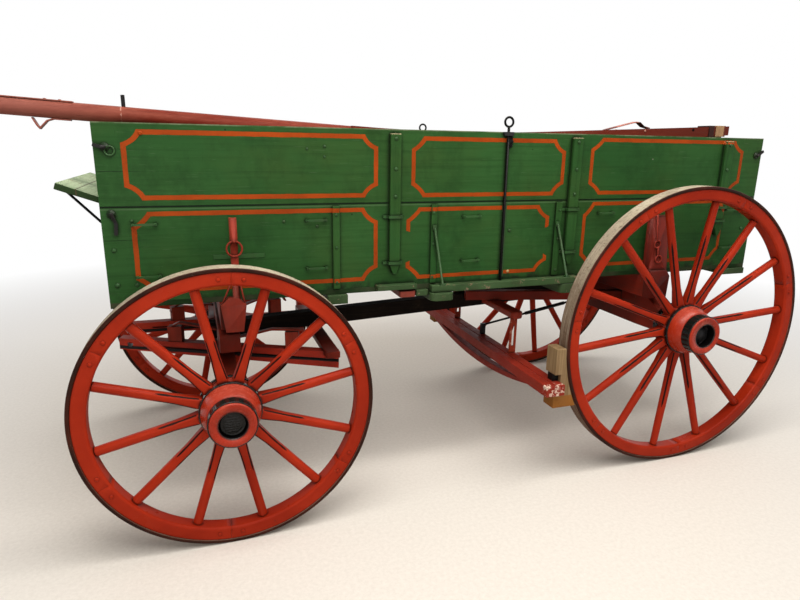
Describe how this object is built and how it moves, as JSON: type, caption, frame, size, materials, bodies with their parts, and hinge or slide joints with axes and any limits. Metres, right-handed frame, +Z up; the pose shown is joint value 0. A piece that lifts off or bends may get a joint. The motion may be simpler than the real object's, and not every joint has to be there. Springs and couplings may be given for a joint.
{
  "type": "farm box wagon",
  "caption": "Horse-drawn farm wagon with a high wooden box, stakes, reach gear, brake and spoked iron-tyred wheels; the front axle steers and all wheels turn.",
  "frame": {"origin": "on the ground, midway between the stored tongue's tip and the back of the rear tyres, on the centreline", "axes": "+X to the front of the wagon, +Y to its left side, +Z up"},
  "size_m": [3.8218, 1.74, 1.7249],
  "materials": {
    "tyre_iron": "worn iron with a dry brown rust film",
    "wheel_red": "old red paint over wood, fine black striping",
    "iron_black": "black painted iron",
    "floor_wood": "grey worn boards",
    "footboard_green": "pale worn green paint",
    "box_green": "aged green paint",
    "iron_green": "aged green paint over iron",
    "gear_red": "dark red paint over wood",
    "stake_red": "red paint over iron",
    "reach_black": "dark oiled wood",
    "brake_wood": "bare light wood",
    "tongue_red": "worn red paint over wood",
    "tongue_iron": "brown-red paint over iron, dull and chipped"
  },
  "bodies": {
    "wagon_body": {"axle_rear": "gear_red", "bolster_front": "gear_red", "bolster_rear": "gear_red", "bolster_stays": "gear_red", "bow_staples": "iron_green", "box_floor": "floor_wood", "box_irons": "iron_green", "box_rods": "iron_black", "brake_beam": "gear_red", "brake_blocks": "brake_wood", "brake_hanger_bar": "gear_red", "brake_hangers": "stake_red", "brake_rod": "iron_black", "cross_sills": "box_green", "end_gate_front": "box_green", "end_gate_rear": "box_green", "footboard": "footboard_green", "footboard_braces": "iron_black", "gate_cleats": "box_green", "gate_irons": "iron_black", "hounds_rear": "gear_red", "kingpin": "iron_black", "reach": "reach_black", "side_cleats": "box_green", "side_lower_left": "box_green", "side_lower_right": "box_green", "side_rails": "box_green", "side_upper_left": "box_green", "side_upper_right": "box_green", "skeins_rear": "iron_black", "stakes_front": "stake_red", "stakes_rear": "stake_red", "tongue": "tongue_red", "tongue_irons": "tongue_iron"},
    "front_gear": {"axle_front": "gear_red", "front_braces": "stake_red", "hounds_front": "gear_red", "sand_board": "gear_red", "skeins_front": "iron_black", "sway_bar": "gear_red"},
    "wheel_front_left": {"felloes_front_left": "wheel_red", "hub_bands_front_left": "iron_black", "hub_front_left": "wheel_red", "spokes_front_left": "wheel_red", "tire_front_left": "tyre_iron"},
    "wheel_front_right": {"felloes_front_right": "wheel_red", "hub_bands_front_right": "iron_black", "hub_front_right": "wheel_red", "spokes_front_right": "wheel_red", "tire_front_right": "tyre_iron"},
    "wheel_rear_left": {"felloes_rear_left": "wheel_red", "hub_bands_rear_left": "iron_black", "hub_rear_left": "wheel_red", "spokes_rear_left": "wheel_red", "tire_rear_left": "tyre_iron"},
    "wheel_rear_right": {"felloes_rear_right": "wheel_red", "hub_bands_rear_right": "iron_black", "hub_rear_right": "wheel_red", "spokes_rear_right": "wheel_red", "tire_rear_right": "tyre_iron"}
  },
  "joints": [
    {"name": "steering", "type": "hinge", "parent": "wagon_body", "child": "front_gear", "pos_m": [0.95911, 0, 0.664], "axis": [0, 0, 1], "range_deg": [-18, 18]},
    {"name": "spin_front_left", "type": "hinge", "parent": "front_gear", "child": "wheel_front_left", "pos_m": [0.95911, 0.722, 0.559], "axis": [0, 1, 0], "continuous": true},
    {"name": "spin_front_right", "type": "hinge", "parent": "front_gear", "child": "wheel_front_right", "pos_m": [0.95911, -0.722, 0.559], "axis": [0, 1, 0], "continuous": true},
    {"name": "spin_rear_left", "type": "hinge", "parent": "wagon_body", "child": "wheel_rear_left", "pos_m": [-1.21589, 0.722, 0.695], "axis": [0, 1, 0], "continuous": true},
    {"name": "spin_rear_right", "type": "hinge", "parent": "wagon_body", "child": "wheel_rear_right", "pos_m": [-1.21589, -0.722, 0.695], "axis": [0, 1, 0], "continuous": true}
  ]
}
